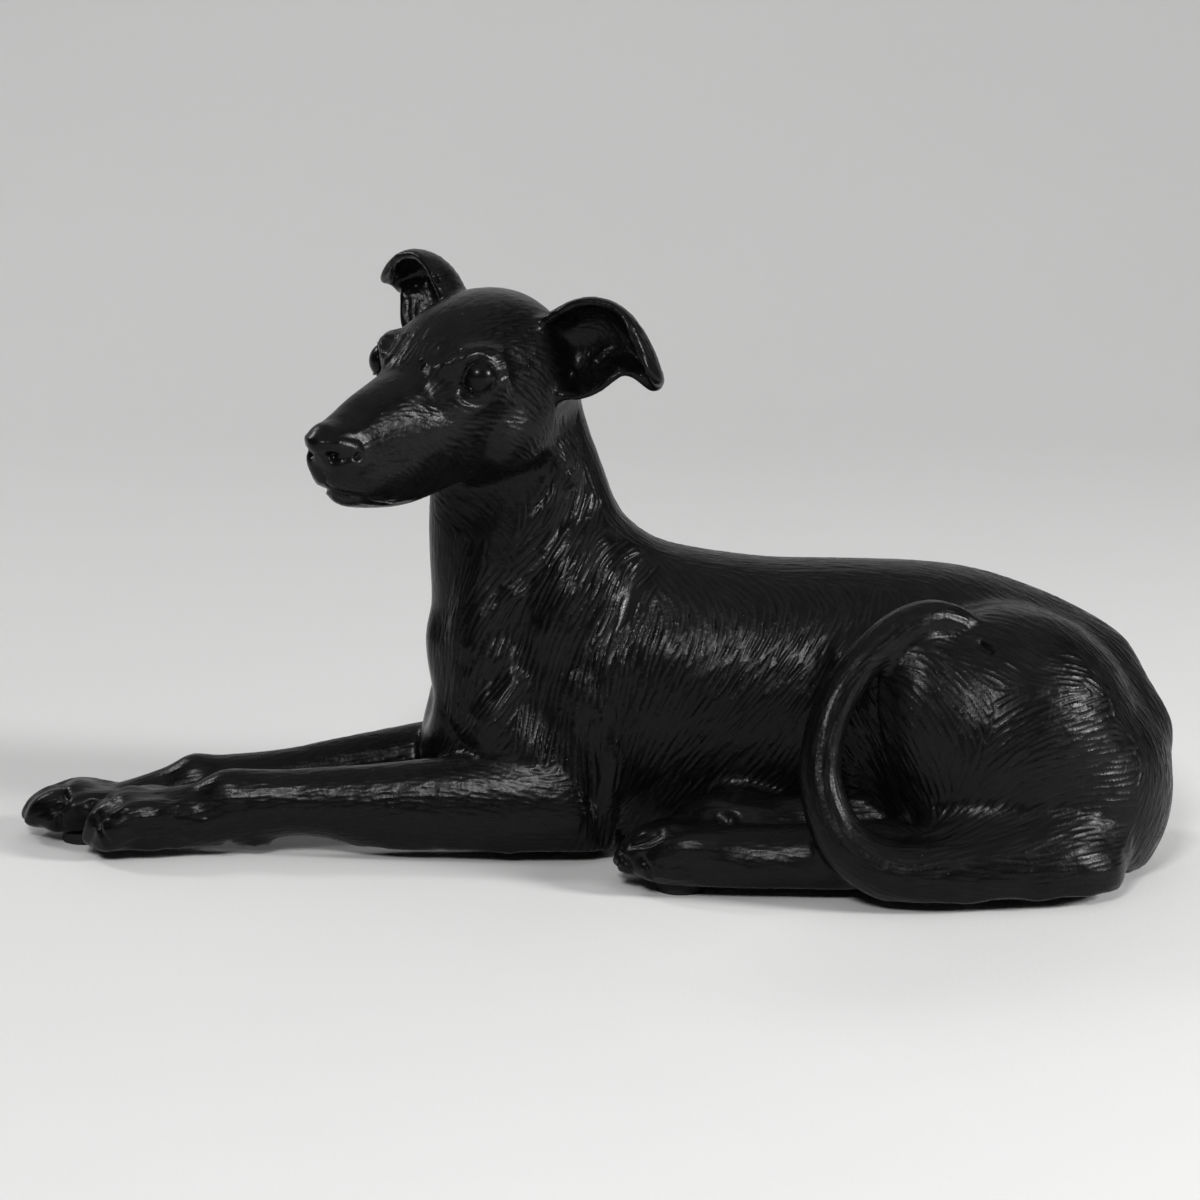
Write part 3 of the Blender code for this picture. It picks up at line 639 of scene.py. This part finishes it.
def allMarks():
    marks = list(bodyMarks)
    for width, depth, points in faceMarks:
        for side in (1, -1):
            marks.append((width, depth, [onHead((x, side * y, z)) for x, y, z in points]))
    for width, depth, points in middleMarks + nearEarMarks + farEarMarks:
        marks.append((width, depth, [onHead(point) for point in points]))
    return marks


markSettings = {
    "spacing": 0.5,  # mm between the places along a line
    "reach": 3,  # widths from a mark, beyond which nothing moves
    "taper": 5,  # how fast a line comes in from its ends
    "atEnds": 0.15,  # share of the depth that it has there
    "facingReach": 0.8,  # mm at the least, where the way that the form faces is read
    "sameSide": 2.5,  # how fast a mark fades where the form turns away
}


def press(form, width, depth, points):
    s = markSettings
    line = smoothLine(points, s["spacing"]) if len(points) > 1 else np.array(points, float)
    low, high = line.min(0) - s["reach"] * width, line.max(0) + s["reach"] * width
    inside = ((form["places"] > low) & (form["places"] < high)).all(1)
    near = np.flatnonzero(inside)
    if not len(near):
        return
    apart = np.linalg.norm(form["places"][near][:, None] - line[None], axis=2)
    closest = apart.argmin(1)
    apart = apart.min(1)
    taper = 1.0
    if len(points) > 1:
        share = closest / (len(line) - 1)
        taper = np.clip(np.minimum(share, 1 - share) * s["taper"] + s["atEnds"], 0, 1)
    way = form["facing"][near][apart < max(width, s["facingReach"])].sum(0)
    way /= max(np.linalg.norm(way), 1e-9)
    same = np.clip(form["facing"][near] @ way * s["sameSide"], 0, 1)
    amount = depth * np.exp(-(apart / width) ** 2) * taper * same
    form["places"][near] -= form["facing"][near] * amount[:, None]


def carve(form, samples):
    for mark in allMarks():
        press(form, *mark)
    engrave(form, samples)


def partedCopy(name, source, planes):  # each plane is a place on it and the side that is taken away
    piece = bpy.data.objects.new(name, source.data.copy())
    bpy.context.scene.collection.objects.link(piece)
    for place, away in planes:
        cutOff(piece, place, away)
    print("parted", name, sum(len(face.vertices) - 2 for face in piece.data.polygons), "triangles")
    return piece


def meshSkin():
    s = skinSettings
    base = castingCopy("skin_base")
    samples = strokeSamples(layStrokes(base))

    def finePiece(name, voxel, planes):
        piece = partedCopy(name, base, planes)
        meshFinely(piece, voxel, s["smoothing"])
        form = readForm(piece)
        carve(form, samples)
        if name == "head":
            shapeEyes(form)
        writeForm(piece, form)
        return piece

    upward, backward = (0, 0, 1), (0, 1, 0)
    downward, toCamera = (0, 0, -1), (0, -1, 0)
    overlap = s["overlap"]
    head = finePiece("head", s["headVoxel"], [(at(0, 0, s["neckHeight"] - overlap), downward)])
    middle = at(*onHead((s["headCut"], 0, 0)))
    forward = headMatrix.to_3x3() @ Vector((1, 0, 0))
    pieces = [
        partedCopy("face_skin", head, [(middle, -forward)]),
        partedCopy("crown_skin", head, [(middle, forward)]),
    ]
    neck = (at(0, 0, s["neckHeight"] + overlap), upward)
    far = finePiece("far", s["farVoxel"], [neck, (at(0, s["farSide"] - overlap, 0), toCamera)])
    body = finePiece("near", s["bodyVoxel"], [neck, (at(0, s["farSide"] + overlap, 0), backward)])
    underside = (at(0, 0, s["underside"]), downward)
    pieces.append(partedCopy("far_side_skin", far, [underside]))
    cutOff(body, *underside)
    names = ("forelegs_skin", "elbow_skin", "shoulder_skin", "flank_skin", "thigh_skin", "rump_skin")
    cuts = (None, *s["bodyCuts"], None)
    for name, low, high in zip(names, cuts, cuts[1:]):
        planes = [] if low is None else [(at(low, 0, 0), (-1, 0, 0))]
        planes += [] if high is None else [(at(high, 0, 0), (1, 0, 0))]
        pieces.append(partedCopy(name, body, planes))
    for source in (base, head, far, body):
        bpy.data.objects.remove(source)
    for piece in pieces:
        selectOnly(piece)
        bpy.ops.object.shade_smooth_by_angle(angle=math.radians(s["smoothUnder"]))
        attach(piece, "root")
        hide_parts("greyhound")
        piece.data.materials.clear()
        piece.data.materials.append(resin)
    return pieces


# Finishes: one group gives grain and wear to the resin, the glossed eyes and the pads

wearSettings = {
    "patches": 22,  # handled and matter areas, per metre
    "mottle": 240,
    "grain": 1100,
    "pinholes": 420,
    "grooveAt": (-0.05, -0.8),  # where each one starts and where it is full
    "crestAt": (0.02, 0.30),
    "patchAt": (0.35, 0.68),
    "mottleAt": (0.30, 0.70),
    "pinholeAt": (0.10, 0.02),
    "grooveDust": 0.55,
    "mottleDust": 0.35,
    "pinholeDust": 0.8,
    "patchRoughness": 0.035,
    "grooveRoughness": 0.12,
    "crestPolish": 0.07,
    "mottleRoughness": 0.05,
    "grainHeight": 0.5,
    "mottleHeight": 0.9,
    "pinholeDepth": 0.6,
    "bumpHeight": 0.00012,  # metres
    "coatRoughness": 0.1,
}
resinFinish = {
    "dark": (0.0026, 0.0026, 0.0030, 1),
    "dusty": (0.0072, 0.0072, 0.0070, 1),
    "roughness": 0.25,
    "specular": 0.15,
    "bump": 0.8,
    "coat": 0.0,
}
eyeFinish = {
    "dark": (0.003, 0.003, 0.0034, 1),
    "dusty": (0.006, 0.006, 0.006, 1),
    "roughness": 0.27,
    "specular": 0.08,
    "bump": 0.04,
    "coat": 0.10,
}
padFinish = {
    "dark": (0.008, 0.008, 0.008, 1),
    "dusty": (0.02, 0.02, 0.019, 1),
    "roughness": 0.72,
    "specular": 0.3,
    "bump": 1.0,
    "coat": 0.0,
}


def addNode(tree, kind, **values):
    node = tree.nodes.new(kind)
    for name, value in values.items():
        setattr(node, name, value)
    return node


def ramp(tree, source, low, high, first, last):  # maps low..high of source to first..last
    node = addNode(tree, "ShaderNodeMapRange")
    for socket, value in zip(("From Min", "From Max", "To Min", "To Max"), (low, high, first, last)):
        node.inputs[socket].default_value = value
    tree.links.new(source, node.inputs["Value"])
    return node.outputs["Result"]


def noise(tree, coordinates, scale, detail=3):
    node = addNode(tree, "ShaderNodeTexNoise")
    node.inputs["Scale"].default_value = scale
    node.inputs["Detail"].default_value = detail
    tree.links.new(coordinates, node.inputs["Vector"])
    return node.outputs["Fac"]


def combine(tree, operation, first, second):
    node = addNode(tree, "ShaderNodeMath", operation=operation)
    for socket, value in zip(node.inputs, (first, second)):
        if isinstance(value, (int, float)):
            socket.default_value = value
        else:
            tree.links.new(value, socket)
    return node.outputs[0]


def wearGroup():
    s = wearSettings
    tree = bpy.data.node_groups.new("castResinWear", "ShaderNodeTree")
    for name in ("Dust", "Roughness Change", "Height"):
        tree.interface.new_socket(name=name, in_out="OUTPUT", socket_type="NodeSocketFloat")
    out = addNode(tree, "NodeGroupOutput")
    place = addNode(tree, "ShaderNodeTexCoord").outputs["Object"]
    relief = addNode(tree, "ShaderNodeAttribute", attribute_name="relief").outputs["Fac"]
    groove = ramp(tree, relief, *s["grooveAt"], 0, 1)
    crest = ramp(tree, relief, *s["crestAt"], 0, 1)
    patches = ramp(tree, noise(tree, place, s["patches"]), *s["patchAt"], -1, 1)
    mottle = ramp(tree, noise(tree, place, s["mottle"], 5), *s["mottleAt"], 0, 1)
    grain = noise(tree, place, s["grain"], 4)
    cells = addNode(tree, "ShaderNodeTexVoronoi")
    cells.inputs["Scale"].default_value = s["pinholes"]
    tree.links.new(place, cells.inputs["Vector"])
    pinhole = ramp(tree, cells.outputs["Distance"], *s["pinholeAt"], 0, 1)
    dust = combine(tree, "MULTIPLY", groove, s["grooveDust"])
    dust = combine(tree, "ADD", dust, combine(tree, "MULTIPLY", mottle, s["mottleDust"]))
    dust = combine(tree, "MAXIMUM", dust, combine(tree, "MULTIPLY", pinhole, s["pinholeDust"]))
    change = combine(tree, "MULTIPLY", patches, s["patchRoughness"])
    change = combine(tree, "ADD", change, combine(tree, "MULTIPLY", groove, s["grooveRoughness"]))
    change = combine(tree, "SUBTRACT", change, combine(tree, "MULTIPLY", crest, s["crestPolish"]))
    change = combine(tree, "ADD", change, combine(tree, "MULTIPLY", mottle, s["mottleRoughness"]))
    height = combine(tree, "MULTIPLY", grain, s["grainHeight"])
    height = combine(tree, "ADD", height, combine(tree, "MULTIPLY", mottle, s["mottleHeight"]))
    height = combine(tree, "SUBTRACT", height, combine(tree, "MULTIPLY", pinhole, s["pinholeDepth"]))
    for name, socket in (("Dust", dust), ("Roughness Change", change), ("Height", height)):
        tree.links.new(socket, out.inputs[name])
    return tree


def wornMaterial(name, finish):
    material = bpy.data.materials.new(name)
    material.use_nodes = True
    tree = material.node_tree
    shader = tree.nodes["Principled BSDF"]
    wear = addNode(tree, "ShaderNodeGroup", node_tree=wearTree)
    tint = addNode(tree, "ShaderNodeMix", data_type="RGBA")
    tint.inputs["A"].default_value = finish["dark"]
    tint.inputs["B"].default_value = finish["dusty"]
    tree.links.new(wear.outputs["Dust"], tint.inputs["Factor"])
    tree.links.new(tint.outputs["Result"], shader.inputs["Base Color"])
    rough = combine(tree, "ADD", wear.outputs["Roughness Change"], finish["roughness"])
    tree.links.new(rough, shader.inputs["Roughness"])
    bump = addNode(tree, "ShaderNodeBump")
    bump.inputs["Strength"].default_value = finish["bump"]
    bump.inputs["Distance"].default_value = wearSettings["bumpHeight"]
    tree.links.new(wear.outputs["Height"], bump.inputs["Height"])
    tree.links.new(bump.outputs["Normal"], shader.inputs["Normal"])
    shader.inputs["Specular IOR Level"].default_value = finish["specular"]
    shader.inputs["Coat Weight"].default_value = finish["coat"]
    shader.inputs["Coat Roughness"].default_value = wearSettings["coatRoughness"]
    return material


wearTree = wearGroup()
resin = wornMaterial("black_resin_finish", resinFinish)
glossedResin = wornMaterial("glossed_eye_finish", eyeFinish)
rubber = wornMaterial("pad_rubber_finish", padFinish)
print("finishes made")
skins = meshSkin()
print("skin carved in", len(skins), "pieces")


def addEye(name, side):
    s = eyeSettings
    centre, gaze, _, _ = eyeFrame(side)
    bpy.ops.object.select_all(action="DESELECT")
    bpy.ops.mesh.primitive_uv_sphere_add(
        segments=s["segments"], ring_count=s["rings"], radius=s["radius"] * mm, location=at(*centre),
    )
    eye = bpy.context.active_object
    eye.name = name
    bpy.ops.object.transform_apply(location=True, rotation=True, scale=True)
    bpy.ops.object.shade_smooth()
    eye.data.materials.append(glossedResin)
    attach(eye, "root")


addEye("near_eye", 1)
addEye("far_eye", -1)

for node in ("pad_1", "pad_2", "pad_3", "pad_4", "pad_5"):
    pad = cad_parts[node]
    for materialSlot in pad.material_slots:
        materialSlot.material = rubber
print("eyes and pads set")


# Floor, light and camera

studioSettings = {
    "floorWidth": 7.0,
    "floorFront": -2.4,
    "floorBack": 1.5,
    "sweepRadius": 0.9,
    "wallHeight": 3.4,
    "paper": (0.80, 0.80, 0.795, 1),
    "paperShade": (0.785, 0.785, 0.78, 1),
    "paperClouds": 1.3,  # per metre
    "paperMottle": 30,
    "paperGrain": 900,
    "paperRoughness": (0.82, 0.95),
    "paperBump": 0.25,
    "paperBumpHeight": 0.0002,
    "sweepSteps": 24,
    "ambient": 0.02,
    "ambientTint": (0.97, 0.98, 1.0, 1),
    "aimHeight": 45,  # mm, what the lights point at
    # name: bearing from the camera's side towards the right, height angle, distance, size, power
    "lights": {
        "front": (-10, 34, 1.25, 0.22, 7),
        "right": (66, 22, 1.2, 0.24, 11),
        "leftBehind": (-122, 38, 1.3, 0.24, 3.2),
        "behind": (178, 40, 1.3, 0.9, 0.6),
        "overhead": (0, 80, 2.0, 3.0, 12),
    },
}


def paperMaterial():
    s = studioSettings
    material = bpy.data.materials.new("pale_paper")
    material.use_nodes = True
    tree = material.node_tree
    shader = tree.nodes["Principled BSDF"]
    place = addNode(tree, "ShaderNodeTexCoord").outputs["Object"]
    tint = addNode(tree, "ShaderNodeMix", data_type="RGBA")
    tint.inputs["A"].default_value = s["paper"]
    tint.inputs["B"].default_value = s["paperShade"]
    tree.links.new(ramp(tree, noise(tree, place, s["paperClouds"]), 0.3, 0.7, 0, 1), tint.inputs["Factor"])
    tree.links.new(tint.outputs["Result"], shader.inputs["Base Color"])
    rough = ramp(tree, noise(tree, place, s["paperMottle"]), 0.3, 0.7, *s["paperRoughness"])
    tree.links.new(rough, shader.inputs["Roughness"])
    bump = addNode(tree, "ShaderNodeBump")
    bump.inputs["Strength"].default_value = s["paperBump"]
    bump.inputs["Distance"].default_value = s["paperBumpHeight"]
    tree.links.new(noise(tree, place, s["paperGrain"], 4), bump.inputs["Height"])
    tree.links.new(bump.outputs["Normal"], shader.inputs["Normal"])
    return material


def addFloor():  # one sheet of paper that sweeps up behind the figure
    s = studioSettings
    bpy.ops.object.select_all(action="DESELECT")
    bpy.ops.mesh.primitive_plane_add(size=1)
    floor = bpy.context.active_object
    floor.name = "floor"
    floor.scale = (s["floorWidth"], s["floorBack"] - s["floorFront"], 1)
    floor.location = (0, (s["floorBack"] + s["floorFront"]) / 2, 0)
    bpy.ops.object.transform_apply(location=True, rotation=True, scale=True)
    bpy.ops.object.mode_set(mode="EDIT")
    bpy.ops.mesh.select_all(action="DESELECT")
    bpy.ops.object.mode_set(mode="OBJECT")
    for edge in floor.data.edges:
        edge.select = all(floor.data.vertices[k].co.y > s["floorBack"] - 0.01 for k in edge.vertices)
    bpy.ops.object.mode_set(mode="EDIT")
    bpy.ops.mesh.select_mode(type="EDGE")
    bpy.ops.mesh.extrude_region_move(TRANSFORM_OT_translate={"value": (0, 0, s["wallHeight"])})
    bpy.ops.object.mode_set(mode="OBJECT")
    bend = floor.modifiers.new("sweep", "BEVEL")
    bend.width = s["sweepRadius"]
    bend.segments = s["sweepSteps"]
    bend.limit_method = "ANGLE"
    applyAll(floor)
    bpy.ops.object.shade_smooth()
    floor.data.materials.append(paperMaterial())


def addSoftbox(name, bearing, height, distance, size, power):
    bearing, height = math.radians(bearing), math.radians(height)
    level = math.cos(height)
    way = Vector((math.sin(bearing) * level, -math.cos(bearing) * level, math.sin(height)))
    aim = at(0, 0, studioSettings["aimHeight"])
    data = bpy.data.lights.new(name, "AREA")
    data.shape = "SQUARE"
    data.size = size
    data.energy = power
    light = bpy.data.objects.new(name, data)
    light.location = aim + way * distance
    light.rotation_euler = way.to_track_quat("Z", "Y").to_euler()
    bpy.context.scene.collection.objects.link(light)


cameraSettings = {
    "aim": (0, 0, 58.744),  # drawn mm
    "distance": 900,
    "downward": 12,  # degrees
    "lens": 110.7,
}


def addCamera():
    s = cameraSettings
    tilt = math.radians(s["downward"])
    look = Vector((0, math.cos(tilt), -math.sin(tilt)))
    data = bpy.data.cameras.new("camera")
    data.lens = s["lens"]
    data.clip_start = 0.01
    camera = bpy.data.objects.new("camera", data)
    camera.location = at(*s["aim"]) - look * s["distance"] * mm
    camera.rotation_euler = (math.pi / 2 - tilt, 0, 0)
    bpy.context.scene.collection.objects.link(camera)
    bpy.context.scene.camera = camera


addFloor()
for name, settings in studioSettings["lights"].items():
    addSoftbox(name, *settings)
world = bpy.data.worlds.new("studio")
bpy.context.scene.world = world
world.use_nodes = True
background = world.node_tree.nodes["Background"]
background.inputs["Color"].default_value = studioSettings["ambientTint"]
background.inputs["Strength"].default_value = studioSettings["ambient"]
addCamera()
bpy.context.scene.view_settings.view_transform = "Standard"  # keeps the dark resin dark
print("floor, lights and camera placed")
